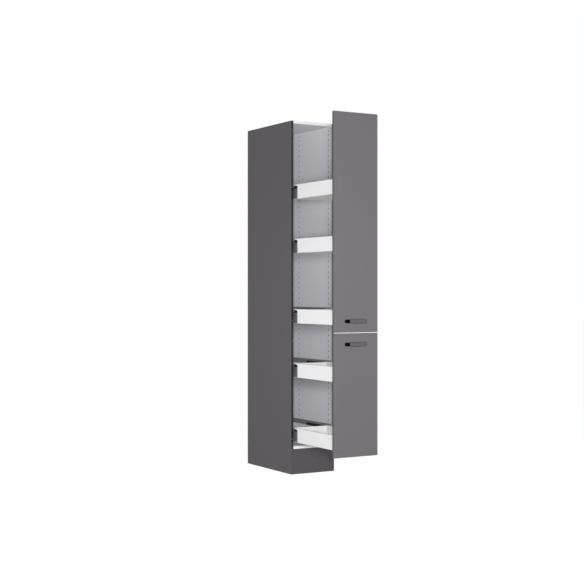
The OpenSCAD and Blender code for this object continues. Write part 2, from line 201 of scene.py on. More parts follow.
def soft_box(name, place, aim, width, height, power):
    """A rectangular lamp that faces the aim. The camera doesn't see it."""
    lamp = bpy.data.lights.new(name, "AREA")
    lamp.shape = "RECTANGLE"
    lamp.size = width
    lamp.size_y = height
    lamp.energy = power
    box = bpy.data.objects.new(name, lamp)
    box.location = place
    box.rotation_euler = (Vector(aim) - Vector(place)).to_track_quat("-Z", "Y").to_euler()
    box.visible_camera = False
    bpy.context.scene.collection.objects.link(box)


def studio_camera():
    lens = bpy.data.cameras.new("camera")
    lens.sensor_width = SENSOR
    lens.lens = FOCAL_PER_FRAME * SENSOR
    camera = bpy.data.objects.new("camera", lens)
    camera.location = EYE
    camera.rotation_euler = (math.pi / 2, 0, EYE_TURN)
    bpy.context.scene.collection.objects.link(camera)
    bpy.context.scene.camera = camera


studio_floor()
studio_world()
studio_camera()
for name, settings in SOFT_BOXES.items():
    soft_box(name, *settings)
bpy.context.scene.view_settings.view_transform = "Standard"


# ---------------------------------------------------------------- Side panels
# Two chipboard panels run from the floor to the top. They have grey melamine outside, pale melamine
# inside, an edge band on top and in front down to the plinth, and raw edges behind and below. The
# band's near-black colour is painted shade: the shade that the drawn-out fronts and trays cast on the
# front edge, which is why it stops at the plinth. Two columns of holes for shelf pins and rails are
# drilled in each, with their walls painted dark as the shade inside them, and a rebate takes the back
# panel.
GREY_BOARD = tone(78, 74, 78)
BOARD_SHINE = 0.3
# Near black: painted shade on the edge band, standing for the shade that the fronts cast on it.
EDGE_BAND_SHADE = tone(24, 23, 24)
PALE_BOARD = tone(226, 226, 230)
CORE_TONES = [(0.25, tone(104, 80, 56)), (0.5, tone(164, 132, 96)), (0.8, tone(203, 176, 138))]
# Painted shade: the dark colour given to the walls of the drilled holes.
DRILLED_HOLE_SHADE = tone(34, 29, 26)
BAND_ROUND = 0.0010
EDGE_BREAK = 0.0004
HOLE_PITCH = 0.032
HOLE_R = 0.0025
HOLE_DEPTH = 0.011
HOLE_LIP = 0.0014
HOLE_ROWS = (0.038, 0.388)
LOWEST_HOLE = 0.209
EVEN_HOLES = 58
TOP_HOLE_STEP = 0.024
CUT = 0.001


def melamine(name, colour, gloss=0.48):
    """Printed paper pressed on chipboard: a fine pearl grain with a soft sheen."""
    finish = Finish(name)
    cloud = finish.noise(2.2, detail=1.0)
    pearl = finish.noise(1100, detail=1.0)
    pores = finish.cells(620, feature="F1")
    shade = finish.shade(colour, cloud * 0.45 + pearl * 0.4 + pores * 0.15, 0.09)
    return finish.done(base_color=shade, roughness=gloss - 0.04 + pearl * 0.08 + cloud * 0.06,
                       specular_ior_level=BOARD_SHINE,
                       normal=finish.bump(pearl * 0.7 + pores * 0.3, 0.00006, 0.5))


def edge_band(name, colour):
    """Plastic edge band: smoother than the board, with faint lines along its length."""
    finish = Finish(name)
    drawn = finish.noise(260, place=finish.stretched((1, 1, 0.02)))
    cloud = finish.noise(5)
    return finish.done(base_color=finish.shade(colour, drawn * 0.6 + cloud * 0.4, 0.07),
                       roughness=0.4 + drawn * 0.1, normal=finish.bump(drawn, 0.00003, 0.4))


def raw_chipboard():
    """A sawn edge: tan and brown flakes with open gaps between them."""
    finish = Finish("raw_chipboard")
    flakes = finish.cells(420, place=finish.stretched((1, 0.45, 0.45)), output="Color")
    grey = finish.node("ShaderNodeSeparateColor", flakes, output="Red")
    gaps = finish.cells(300, feature="DISTANCE_TO_EDGE")
    colour = finish.node("ShaderNodeValToRGB", grey * 0.8 + finish.noise(90) * 0.2,
                         stops=[(at, c[:3]) for at, c in CORE_TONES])
    return finish.done(base_color=colour, roughness=0.85,
                       normal=finish.bump(gaps * 3 + grey * 0.4, 0.0003, 0.7))


def drilled_core():
    """A drilled hole's wall: flaky chipboard painted near black as the shade deep in the hole."""
    finish = Finish("drilled_core")
    flakes = finish.noise(700, detail=3)
    return finish.done(base_color=finish.shade(DRILLED_HOLE_SHADE, flakes, 0.4), roughness=0.9,
                       specular_ior_level=0.1, normal=finish.bump(flakes, 0.0002, 0.6))


def block(low, high, radius=EDGE_BREAK, steps=2):
    """A box with its edges broken, as a bmesh."""
    low, high = Vector(low), Vector(high)
    bm = bmesh.new()
    bmesh.ops.create_cube(bm, size=1)
    bmesh.ops.scale(bm, vec=high - low, verts=bm.verts)
    bmesh.ops.translate(bm, vec=(low + high) / 2, verts=bm.verts)
    if radius:
        bmesh.ops.bevel(bm, geom=bm.edges[:], offset=radius, segments=steps, profile=0.5,
                        affect="EDGES")
    return bm


def as_object(bm, name="tool"):
    mesh = bpy.data.meshes.new(name)
    bm.to_mesh(mesh)
    bm.free()
    made = bpy.data.objects.new(name, mesh)
    bpy.context.scene.collection.objects.link(made)
    return made


def settled(obj):
    """The object's evaluated mesh as a bmesh. The object goes."""
    bpy.context.view_layer.update()
    solved = obj.evaluated_get(bpy.context.evaluated_depsgraph_get())
    mesh = bpy.data.meshes.new_from_object(solved)
    bm = bmesh.new()
    bm.from_mesh(mesh)
    bpy.data.meshes.remove(mesh)
    bpy.data.objects.remove(obj)
    return bm


def worked(bm, tool, operation="DIFFERENCE"):
    """The solid after the tool was cut from it or joined to it."""
    body, cutter = as_object(bm), as_object(tool)
    step = body.modifiers.new("work", "BOOLEAN")
    step.operation = operation
    step.solver = "EXACT"
    step.object = cutter
    bm = settled(body)
    bpy.data.objects.remove(cutter)
    return bm


def bridge(bm, first, second):
    """Adds the faces between two closed rings of points."""
    for n in range(len(first)):
        m = (n + 1) % len(first)
        bm.faces.new((first[n], first[m], second[m], second[n]))


def lathed(profile, steps=16):
    """A solid of revolution about Z from (radius, height) pairs, from its bottom to its top."""
    bm = bmesh.new()
    rings = []
    for radius, height in profile:
        turn = [2 * math.pi * n / steps for n in range(steps)]
        rings.append([bm.verts.new((radius * math.cos(a), radius * math.sin(a), height))
                      for a in turn])
    for lower, upper in zip(rings, rings[1:]):
        bridge(bm, lower, upper)
    bm.faces.new(rings[0][::-1])
    bm.faces.new(rings[-1])
    return bm


def moved(bm, shift=(0, 0, 0), mirror=False):
    """A copy of the solid, shifted, and mirrored to the right-hand side if asked."""
    made = bm.copy()
    bmesh.ops.translate(made, vec=shift, verts=made.verts)
    if mirror:
        bmesh.ops.scale(made, vec=(-1, 1, 1), verts=made.verts)
        bmesh.ops.reverse_faces(made, faces=made.faces)
    return made


def merged(*parts):
    """Several separate solids in one bmesh."""
    bm = bmesh.new()
    for part in parts:
        mesh = bpy.data.meshes.new("part")
        part.to_mesh(mesh)
        part.free()
        bm.from_mesh(mesh)
        bpy.data.meshes.remove(mesh)
    return bm


def new_tree(name, inputs):
    """A Geometry Nodes tree with named inputs, and its two end nodes."""
    tree = bpy.data.node_groups.new(name, "GeometryNodeTree")
    for title, kind in inputs.items():
        tree.interface.new_socket(title, in_out="INPUT", socket_type=kind)
    tree.interface.new_socket("Geometry", in_out="OUTPUT", socket_type="NodeSocketGeometry")
    return tree, tree.nodes.new("NodeGroupInput"), tree.nodes.new("NodeGroupOutput")


def grown(tree, kind, feeds, **settings):
    """Adds a node to a Geometry Nodes tree. feeds maps its sockets to values or to other sockets."""
    made = tree.nodes.new(kind)
    for key, setting in settings.items():
        setattr(made, key, setting)
    for socket, feed in feeds.items():
        if isinstance(feed, bpy.types.NodeSocket):
            tree.links.new(feed, made.inputs[socket])
        else:
            made.inputs[socket].default_value = feed
    return made


def ended(tree, given, out, instances):
    """Ends a tree: the instances become mesh and get their finish."""
    real = grown(tree, "GeometryNodeRealizeInstances", {"Geometry": instances})
    dressed = grown(tree, "GeometryNodeSetMaterial",
                    {"Geometry": real.outputs["Geometry"], "Material": given.outputs["Finish"]})
    tree.links.new(dressed.outputs["Geometry"], out.inputs["Geometry"])
    return tree


def row_tree():
    """Repeats a part in an even row."""
    tree, given, out = new_tree("even_row", {
        "Part": "NodeSocketObject", "Start": "NodeSocketVector", "Step": "NodeSocketVector",
        "Count": "NodeSocketInt", "Finish": "NodeSocketMaterial"})
    line = grown(tree, "GeometryNodeMeshLine",
                 {"Count": given.outputs["Count"], "Start Location": given.outputs["Start"],
                  "Offset": given.outputs["Step"]}, mode="OFFSET")
    part = grown(tree, "GeometryNodeObjectInfo", {"Object": given.outputs["Part"]})
    row = grown(tree, "GeometryNodeInstanceOnPoints",
                {"Points": line.outputs["Mesh"], "Instance": part.outputs["Geometry"]})
    return ended(tree, given, out, row.outputs["Instances"])


def run_tree(tree, carrier, **inputs):
    """Runs a tree on a carrier object and returns the result as a bmesh."""
    step = carrier.modifiers.new("grow", "NODES")
    step.node_group = tree
    for item in tree.interface.items_tree:
        if item.in_out == "INPUT" and item.name in inputs:
            step[item.identifier] = inputs[item.name]
    return settled(carrier)


EVEN_ROW = row_tree()


def row_of(part, start, step, count, finish=None):
    """An even row of the part, as a bmesh."""
    model = as_object(part)
    bm = run_tree(EVEN_ROW, as_object(bmesh.new()), Part=model, Start=start, Step=step,
                  Count=count, Finish=finish)
    bpy.data.objects.remove(model)
    return bm


def along_x(bm):
    """Turns a solid that was made about Z so that it lies along X."""
    for vert in bm.verts:
        vert.co = Vector((vert.co.z, vert.co.x, vert.co.y))
    return bm


def piece(name, bm, finishes, body, slot, *nodes, pick=None):
    """Puts a finished solid on its body. pick chooses the finish of each face."""
    made = as_object(bm, name)
    for finish in finishes:
        made.data.materials.append(finish)
    for face in made.data.polygons:
        face.material_index = pick(face.center, face.normal) if pick else 0
    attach(made, body)
    if nodes:
        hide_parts(*nodes)


def drill():
    """The shape that a drill leaves, with a slightly broken mouth. It points at +X."""
    lip = HOLE_R + HOLE_LIP
    return along_x(lathed([(HOLE_R, -HOLE_DEPTH), (HOLE_R, -HOLE_LIP), (lip, 0),
                           (lip + CUT, CUT)]))


side_low, side_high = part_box("side_panel_left")
wall_x = side_high.x
back_low, back_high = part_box("back_panel")
grey_melamine = melamine("grey_melamine", GREY_BOARD)
painted_shade_band = edge_band("edge_band_painted_shade", EDGE_BAND_SHADE)
pale_melamine = melamine("pale_melamine", PALE_BOARD)
chipboard = raw_chipboard()
drilled = drilled_core()
plinth_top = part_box("plinth")[1].z


def side_panel():
    bm = block(side_low, side_high, BAND_ROUND, 3)
    bmesh.ops.bisect_plane(bm, geom=bm.verts[:] + bm.edges[:] + bm.faces[:], dist=CUT / 100,
                           plane_co=(0, 0, plinth_top), plane_no=(0, 0, 1))
    rebate = block((back_low.x, back_low.y, back_low.z), (wall_x + CUT, side_high.y + CUT,
                                                          side_high.z + CUT), 0)
    bm = worked(bm, rebate)
    top = LOWEST_HOLE + (EVEN_HOLES - 1) * HOLE_PITCH + TOP_HOLE_STEP
    for y in HOLE_ROWS:
        bm = worked(bm, row_of(drill(), (wall_x, y, LOWEST_HOLE), (0, 0, HOLE_PITCH), EVEN_HOLES))
        bm = worked(bm, moved(drill(), (wall_x, y, top)))
    return bm


def side_finish(centre, normal):
    """0 outside, 1 edge band in painted shade, 2 inside, 3 core, 4 drilled holes in painted shade."""
    # The painted-shade band covers the front edge only above the plinth; beside the plinth it stays
    # grey.
    beside_plinth = centre.y < BAND_ROUND and centre.z < plinth_top
    if abs(centre.x) > abs(side_low.x) - CUT / 2 or beside_plinth:
        return 0
    if centre.y < BAND_ROUND or centre.z > side_high.z - BAND_ROUND:
        return 1
    if abs(centre.x) < abs(wall_x) + CUT / 4 and abs(normal.x) > 0.5:
        return 2
    return 4 if min(abs(centre.y - y) for y in HOLE_ROWS) < HOLE_R + HOLE_LIP else 3


left_side = side_panel()
side_finishes = [grey_melamine, painted_shade_band, pale_melamine, chipboard, drilled]
piece("right_side_board", moved(left_side, mirror=True), side_finishes, "carcass", "carcass_board",
      "side_panel_right", pick=side_finish)
piece("left_side_board", left_side, side_finishes, "carcass", "carcass_board", "side_panel_left",
      pick=side_finish)


# ---------------------------------------------------------------- Top, bottom and back
# White melamine boards between the side panels, with white bands on their front edges. The thin back
# panel lies in the rebate of the side panels. It is pale inside and plain grey board outside.
WHITE_BOARD = tone(236, 236, 238)
BACK_BOARD = tone(196, 193, 188)
WALL_HOLE_R = 0.003
WALL_HOLE_X = 0.080
WALL_HOLE_Z = 2.061
LOCK_R = 0.0075
LOCK_GAP = 0.0001
LOCK_H = 0.0125
LOCK_X = 0.100
LOCK_Y = (0.060, 0.477)

wall_holes = [(x, WALL_HOLE_Z) for x in (-WALL_HOLE_X, WALL_HOLE_X)]
white_melamine = melamine("white_melamine", WHITE_BOARD)
white_band = edge_band("white_edge_band", WHITE_BOARD)
back_board = melamine("back_board", BACK_BOARD, 0.62)


def shelf_finish(centre, normal):
    """0 faces, 1 front band, 2 raw rear edge."""
    if centre.y < BAND_ROUND:
        return 1
    return 2 if normal.y > 0.5 else 0


def back_finish(centre, normal):
    """0 inside, 1 outside."""
    return 0 if normal.y < -0.5 else 1


def shelf_board(low, high):
    """The top or bottom board, with the pockets of its cam locks drilled from below."""
    board = block(low, high)
    for x in (-LOCK_X, LOCK_X):
        for y in LOCK_Y:
            pocket = lathed([(LOCK_R + LOCK_GAP, -CUT), (LOCK_R + LOCK_GAP, LOCK_H)], 32)
            board = worked(board, moved(pocket, (x, y, low.z)))
    return board


def holed(bm, axis, spot, radius, reach):
    """The solid with a round hole along X or Y through the spot."""
    bore = lathed([(radius, -reach), (radius, reach)], 24)
    order = {"X": (2, 0, 1), "Y": (1, 2, 0)}[axis]
    for vert in bore.verts:
        vert.co = Vector([vert.co[n] for n in order]) + Vector(spot)
    return worked(bm, bore)


for name, node in (("top_board", "top_panel"), ("bottom_board", "bottom_panel")):
    board = shelf_board(*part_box(node))
    piece(name, board, [white_melamine, white_band, chipboard], "carcass", "white_board", node,
          pick=shelf_finish)

back = block(back_low, back_high)
for x, z in wall_holes:
    back = holed(back, "Y", (x, back_low.y, z), WALL_HOLE_R, 2 * (back_high.y - back_low.y))
piece("back_board", back, [pale_melamine, back_board], "carcass", "white_board", "back_panel",
      pick=back_finish)


# ---------------------------------------------------------------- Plinth
# A grey board between the feet of the side panels, flush with their front edges. Its upper and lower
# edges are sawn and stay raw.
piece("plinth_board", block(*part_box("plinth")), [grey_melamine, chipboard], "carcass",
      "plinth_board", "plinth", pick=lambda centre, normal: int(abs(normal.z) > 0.5))


# ---------------------------------------------------------------- Cabinet fittings
# Zinc plated fittings hold the carcass together: cam locks in the top and bottom boards, whose bolts
# screw into the side panels, angle brackets behind the plinth, and two more to screw it to the wall.
ZINC_BLUE = tone(168, 176, 186)
ZINC_YELLOW = tone(190, 187, 176)
SHEET = 0.0015
SHEET_BREAK = 0.0003
LEG = 0.030
LEG_HOLE = 0.018
ANGLE_W = 0.040
PLINTH_ANGLE_Z = 0.060
BEND_IN = 0.0008
SCREW_R = 0.002
SCREW_LONG = 0.012
SCREW_TIP = 0.0015
SCREW_NECK = 0.0005
THREADS = 9
CORE, CREST, POINT = 0.75, 0.97, 0.2
HEAD_R = 0.00375
HEAD_H = 0.0012
HEAD_SHAPE = [(0.97, 0), (1, 0.2), (0.95, 0.6), (0.8, 0.9), (0.55, 1)]
CROSS_ARM = 0.0044
CROSS_W = 0.0009
CROSS_DEEP = 0.0008
LOCK_CROSS = 0.009
LOCK_CROSS_W = 0.0015
LOCK_CROSS_DEEP = 0.002
LOCK_FACE = [(0.74, 0), (0.7, -0.0004), (0.66, -0.0004), (0.62, 0)]
LOCK_ROUND = 0.0003
ARC_STEP = math.radians(18)


def zinc_plate():
    """Passivated zinc: a bright metal with faint blue and yellow clouds and rolling lines."""
    finish = Finish("zinc_plate")
    cloud = finish.noise(45, detail=3)
    rolled = finish.noise(380, place=finish.stretched((1, 0.05, 1)))
    return finish.done(base_color=finish.mix(cloud, ZINC_BLUE, ZINC_YELLOW), metallic=1.0,
                       roughness=0.3 + cloud * 0.12 + rolled * 0.06,
                       normal=finish.bump(rolled, 0.00002, 0.4))


def rounded(*corners):
    """An outline whose corners, given as (a, b, radius), are rounded by arcs."""
    outline = []
    for n, (a, b, radius) in enumerate(corners):
        here = Vector((a, b))
        before = (Vector(corners[n - 1][:2]) - here).normalized()
        after = (Vector(corners[(n + 1) % len(corners)][:2]) - here).normalized()
        if not radius:
            outline.append(here)
            continue
        half = before.angle(after) / 2
        reach = radius / math.tan(half)
        centre = here + (before + after).normalized() * radius / math.sin(half)
        start, end = here + before * reach - centre, here + after * reach - centre
        sweep = start.angle_signed(end)
        steps = max(2, round(abs(sweep) / ARC_STEP))
        for step in range(steps + 1):
            angle = -sweep * step / steps
            turned = Vector((start.x * math.cos(angle) - start.y * math.sin(angle),
                             start.x * math.sin(angle) + start.y * math.cos(angle)))
            outline.append(centre + turned)
    return outline


def prism(outline, axis, start, end, radius=0.0, steps=1):
    """An outline extruded along X, Y or Z. It lies in the other two axes, in their order."""
    bm = bmesh.new()
    ends = []
    for along in (start, end):
        ring = []
        for a, b in outline:
            spot = {"X": (along, a, b), "Y": (a, along, b), "Z": (a, b, along)}[axis]
            ring.append(bm.verts.new(spot))
        ends.append(ring)
    bridge(bm, *ends)
    bm.faces.new(ends[0][::-1])
    bm.faces.new(ends[1])
    bmesh.ops.recalc_face_normals(bm, faces=bm.faces)
    if radius:
        rims = [edge for edge in bm.edges if edge.calc_face_angle() > math.radians(60)]
        bmesh.ops.bevel(bm, geom=rims, offset=radius, segments=steps, profile=0.5, affect="EDGES")
    return bm


def screw(length=SCREW_LONG, shank=SCREW_R):
    """A pan head screw with a cross recess. Its head stands on Z = 0 and its shank points down."""
    tip = SCREW_TIP - length
    pitch = (length - SCREW_TIP - SCREW_NECK) / THREADS
    profile = [(shank * POINT, -length), (shank * CORE, tip)]
    for turn in range(THREADS):
        foot = tip + turn * pitch
        profile += [(shank * CREST, foot + pitch * 0.4), (shank * CORE, foot + pitch * 0.8)]
    profile.append((shank * CORE, 0))
    profile += [(HEAD_R * across, HEAD_H * up) for across, up in HEAD_SHAPE]
    return crossed(lathed(profile), CROSS_ARM, CROSS_W, HEAD_H - CROSS_DEEP, HEAD_H + CUT)


def crossed(bm, arm, width, low, high):
    """The solid with a cross recess cut into its top."""
    for across, along in ((arm, width), (width, arm)):
        bm = worked(bm, block((-across / 2, -along / 2, low), (across / 2, along / 2, high), 0))
    return bm


def fastener_tree():
    """Sets a part on every point, turned so that its Z lies along the point's direction."""
    tree, given, out = new_tree("fasteners", {
        "Points": "NodeSocketGeometry", "Part": "NodeSocketObject", "Seed": "NodeSocketInt",
        "Finish": "NodeSocketMaterial"})
    along = grown(tree, "GeometryNodeInputNamedAttribute", {"Name": "along"},
                  data_type="FLOAT_VECTOR")
    facing = grown(tree, "FunctionNodeAlignRotationToVector", {"Vector": along.outputs["Attribute"]},
                   axis="Z")
    spin = grown(tree, "FunctionNodeRandomValue", {"Seed": given.outputs["Seed"]},
                 data_type="FLOAT_VECTOR")
    spin.inputs["Min"].default_value = (0, 0, 0)
    spin.inputs["Max"].default_value = (0, 0, math.pi)
    turn = grown(tree, "FunctionNodeEulerToRotation", {"Euler": spin.outputs["Value"]})
    turned = grown(tree, "FunctionNodeRotateRotation",
                   {"Rotation": facing.outputs["Rotation"], "Rotate By": turn.outputs["Rotation"]},
                   rotation_space="LOCAL")
    part = grown(tree, "GeometryNodeObjectInfo", {"Object": given.outputs["Part"]})
    placed = grown(tree, "GeometryNodeInstanceOnPoints",
                   {"Points": given.outputs["Points"], "Instance": part.outputs["Geometry"],
                    "Rotation": turned.outputs["Rotation"]})
    return ended(tree, given, out, placed.outputs["Instances"])


FASTENERS = fastener_tree()


def fasteners(part, spots, finish, seed=1):
    """One part on each spot, given as (place, direction), as a bmesh."""
    model = as_object(part)
    carrier = as_object(bmesh.new(), "spots")
    carrier.data.from_pydata([place for place, _ in spots], [], [])
    along = carrier.data.attributes.new("along", "FLOAT_VECTOR", "POINT")
    for n, (_, direction) in enumerate(spots):
        along.data[n].vector = direction
    bm = run_tree(FASTENERS, carrier, Part=model, Seed=seed, Finish=finish)
    bpy.data.objects.remove(model)
    return bm


def pair(bm):
    """The left piece with its mirror image."""
    return merged(moved(bm, mirror=True), bm)


def both_sides(spots):
    """The spots and their mirror images on the right."""
    return spots + [((-x, y, z), (-a, b, c)) for (x, y, z), (a, b, c) in spots]


def cam_lock():
    """A die cast cam lock, seen from below, with its cross slot. Its face is at Z = 0."""
    disc = lathed([(LOCK_R, -LOCK_H), (LOCK_R, -2 * LOCK_ROUND), (LOCK_R - LOCK_ROUND, 0),
                   *((LOCK_R * across, up) for across, up in LOCK_FACE)], 32)
    return crossed(disc, LOCK_CROSS, LOCK_CROSS_W, -LOCK_CROSS_DEEP, CUT)


def angle_outline(a, b, toward_a, toward_b):
    """The L of a bent angle bracket whose corner is at (a, b)."""
    out, inner, tip = SHEET + BEND_IN, BEND_IN, SHEET * 0.3
    return rounded(*((a + toward_a * u, b + toward_b * v, r) for u, v, r in (
        (0, 0, out), (LEG, 0, tip), (LEG, SHEET, tip), (SHEET, SHEET, inner), (SHEET, LEG, tip),
        (0, LEG, tip))))


zinc = zinc_plate()
roof_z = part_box("top_panel")[0].z
floor_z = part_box("bottom_panel")[0].z
plinth_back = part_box("plinth")[1].y
locks = [((x, y, z), (0, 0, -1)) for x in (-LOCK_X, LOCK_X) for y in LOCK_Y
         for z in (floor_z, roof_z)]
piece("cam_lock_set", fasteners(cam_lock(), locks, zinc, seed=3), [zinc], "carcass", "zinc_steel",
      "cam_locks")
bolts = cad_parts["cam_bolts"].data
bolts.materials.clear()
bolts.materials.append(zinc)

plinth_angle = prism(angle_outline(wall_x, plinth_back, 1, 1), "Z", PLINTH_ANGLE_Z,
                     PLINTH_ANGLE_Z + ANGLE_W, SHEET_BREAK)
piece("plinth_angles", pair(plinth_angle), [zinc], "carcass", "zinc_steel", "plinth_brackets")
middle = PLINTH_ANGLE_Z + ANGLE_W / 2
plinth_spots = both_sides([((wall_x + SHEET, plinth_back + LEG_HOLE, middle), (1, 0, 0)),
                           ((wall_x + LEG_HOLE, plinth_back + SHEET, middle), (0, 1, 0))])

wall_angles = []
for x, z in wall_holes:
    angle = prism(angle_outline(back_low.y, roof_z, -1, -1), "X", x - ANGLE_W / 2, x + ANGLE_W / 2,
                  SHEET_BREAK)
    wall_angles.append(holed(angle, "Y", (x, back_low.y, z), WALL_HOLE_R, LEG / 2))
piece("wall_angles", merged(*wall_angles), [zinc], "carcass", "zinc_steel", "wall_brackets")
wall_spots = [((x, back_low.y - LEG_HOLE, roof_z - SHEET), (0, 0, -1)) for x, z in wall_holes]
piece("angle_screws", fasteners(screw(), plinth_spots + wall_spots, zinc, seed=5), [zinc], "carcass",
      "zinc_steel", "carcass_bracket_screws")


# ---------------------------------------------------------------- Front buffers
# Clear soft plastic domes on the front edges of the side panels, two on each side behind each front.
# They take the last of its travel when it is pushed shut.
PAD = tone(96, 96, 95)
PAD_R = 0.004
PAD_DOME = [(1, 0), (1, 0.3), (0.92, 0.6), (0.7, 0.88), (0.35, 1)]
PAD_EDGE = 0.060


def soft_plastic():
    """Clear elastic plastic, slightly cloudy."""
    finish = Finish("soft_clear_plastic")
    cloud = finish.noise(300)
    return finish.done(base_color=finish.shade(PAD, cloud, 0.05), roughness=0.28 + cloud * 0.1,
                       subsurface_weight=0.2, normal=finish.bump(cloud, 0.00005, 0.3))


pad_h = -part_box("front_buffers")[0].y
pad_x = (side_low.x + wall_x) / 2
dome = lathed([(PAD_R * across, pad_h * up) for across, up in PAD_DOME])
pads = both_sides([((pad_x, 0, z), (0, -1, 0))
                   for low, high in (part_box("lower_front"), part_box("upper_front"))
                   for z in (low.z + PAD_EDGE, high.z - PAD_EDGE)])
pad_plastic = soft_plastic()
piece("front_buffer_set", fasteners(dome, pads, pad_plastic), [pad_plastic], "carcass", "soft_pad",
      "front_buffers")


# ---------------------------------------------------------------- Runners
# Each tray hangs in a pair of three-part runners of coated steel. The cabinet rail is screwed to the
# side panel and reaches over the tray's side. The intermediate rail slides on its bar with two
# grooves back to back, and the tray rail's bar slides in the inner groove.
DARK_STEEL = tone(138, 138, 141)
BLACK_STEEL = tone(26, 26, 28)
RAIL_TOP = 0.008
RAIL_FOOT = 0.022
RAIL_T = 0.0015
LEG_AT = 0.0057
BAR_OUT = 0.0101
MID_TOP = 0.005
MID_H = 0.015
MID_AT = 0.0078
MID_W = 0.0068
MID_WEB = 0.00265
TRAY_BAR_AT = 0.0123
TRAY_SEAT_AT = 0.0175
BAR_HALF = 0.00565
BAR_ROUND = 0.0006
ROLLED_TIP = 0.0004
ROLLED_ROOT = 0.0005
SCREW_DROP = 0.0015
SCREW_WAY_R = 0.0042
SYSTEM_SCREW_R = 0.0024
SYSTEM_SCREW_LONG = 0.0115
TRAYS = range(1, 6)
UPPER = (1, 2, 3)
LOWER = (4, 5)


def coated_steel(name, colour, gloss):
    """Roll formed steel with a dark coat: fine lines along the rail and lighter, rubbed patches."""
    finish = Finish(name)
    lines = finish.noise(900, place=finish.stretched((1, 0.02, 1)))
    rubbed = finish.noise(24, detail=4, place=finish.stretched((1, 0.25, 1)))
    return finish.done(base_color=finish.shade(colour, lines * 0.5 + rubbed * 0.5, 0.22),
                       metallic=0.25, roughness=gloss + rubbed * 0.15,
                       normal=finish.bump(lines, 0.00003, 0.5))


def from_wall(u):
    return wall_x + u


def cabinet_rail(rim, start, end):
    """The left rail: a hooked section with the glide bar at the end of its leg."""
    bar = rim - MID_TOP - MID_H / 2
    top, foot = rim + RAIL_TOP, rim - RAIL_FOOT
    leg, out = LEG_AT + RAIL_T, RAIL_T + BEND_IN
    section = rounded(*((from_wall(u), z, r) for u, z, r in (
        (0, foot, ROLLED_TIP), (0, top, out), (leg, top, out), (leg, bar + BAR_HALF, SHEET_BREAK),
        (BAR_OUT, bar + BAR_HALF, BAR_ROUND), (BAR_OUT, bar - BAR_HALF, BAR_ROUND),
        (LEG_AT, bar - BAR_HALF, ROLLED_TIP), (LEG_AT, top - RAIL_T, BEND_IN),
        (RAIL_T, top - RAIL_T, BEND_IN), (RAIL_T, foot, ROLLED_TIP))))
    rail = prism(section, "Y", start, end)
    for y in HOLE_ROWS:
        rail = holed(rail, "X", (from_wall(leg), y, rim - SCREW_DROP), SCREW_WAY_R, LEG_AT - RAIL_T)
    return rail


def mid_rail(rim, start, end):
    """The left intermediate rail: a web with a groove on either side of it."""
    top, foot = rim - MID_TOP, rim - MID_TOP - MID_H
    web, far = MID_AT + MID_WEB, MID_AT + MID_W
    tip, root = ROLLED_TIP, ROLLED_ROOT
    section = rounded(*((from_wall(u), z, r) for u, z, r in (
        (MID_AT, top, tip), (far, top, tip), (far, top - RAIL_T, tip),
        (web + RAIL_T, top - RAIL_T, root), (web + RAIL_T, foot + RAIL_T, root),
        (far, foot + RAIL_T, tip), (far, foot, tip), (MID_AT, foot, tip),
        (MID_AT, foot + RAIL_T, tip), (web, foot + RAIL_T, root), (web, top - RAIL_T, root),
        (MID_AT, top - RAIL_T, tip))))
    return prism(section, "Y", start, end)


def tray_rail(rim, start, end):
    """The left tray rail: a bar on a strip that is welded into the tray's side."""
    bar = rim - MID_TOP - MID_H / 2
    strip = TRAY_SEAT_AT - RAIL_T / 2
    tip = ROLLED_TIP
    section = rounded(*((from_wall(u), z, r) for u, z, r in (
        (TRAY_BAR_AT, bar + BAR_HALF, tip), (TRAY_SEAT_AT, bar + BAR_HALF, 0),
        (TRAY_SEAT_AT, bar - 2 * BAR_HALF, 0), (strip, bar - 2 * BAR_HALF, 0),
        (strip, bar - BAR_HALF, 0), (TRAY_BAR_AT, bar - BAR_HALF, tip))))
    return prism(section, "Y", start, end)


def body_of(tray, kind="pullout"):
    return ("upper_" if tray in UPPER else "lower_") + kind


dark_steel = coated_steel("dark_rail_coat", DARK_STEEL, 0.42)
black_steel = coated_steel("black_rail_coat", BLACK_STEEL, 0.36)
rims = {tray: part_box(f"tray_{tray}_side_left")[1].z for tray in TRAYS}
RAILS = (("cabinet_rails_{}", cabinet_rail, dark_steel, "rail_steel", None),
         ("mid_rails_{}", mid_rail, black_steel, "runner_steel", "runners"),
         ("tray_{}_rails", tray_rail, black_steel, "runner_steel", "pullout"))
for pattern, shape, steel, slot, kind in RAILS:
    low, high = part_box(pattern.format(1))
    model = pair(shape(rims[1], low.y, high.y))
    for tray in TRAYS:
        node = pattern.format(tray)
        body = body_of(tray, kind) if kind else "carcass"
        piece("steel_" + node, moved(model, (0, 0, rims[tray] - rims[1])), [steel], body, slot, node)
    model.free()

rail_spots = both_sides([((wall_x + RAIL_T, y, rims[tray] - SCREW_DROP), (1, 0, 0))
                         for tray in TRAYS for y in HOLE_ROWS])
rail_screw = screw(SYSTEM_SCREW_LONG, SYSTEM_SCREW_R)
piece("rail_system_screws", fasteners(rail_screw, rail_spots, zinc, seed=9), [zinc], "carcass",
      "zinc_steel", "rail_screws")


# ---------------------------------------------------------------- Trays
# A tray has two folded steel sides with a white powder coat, open at the top by the slot that the
# cabinet rail passes through, and a base and a back of white board. Behind the nose of a side's outer
# skin a thin plastic cap covers the inner one. Its grey is painted shade: the shade that falls on the
# inner skin there, behind the outer skin and beside the side panel.
POWDER = tone(236, 236, 237)
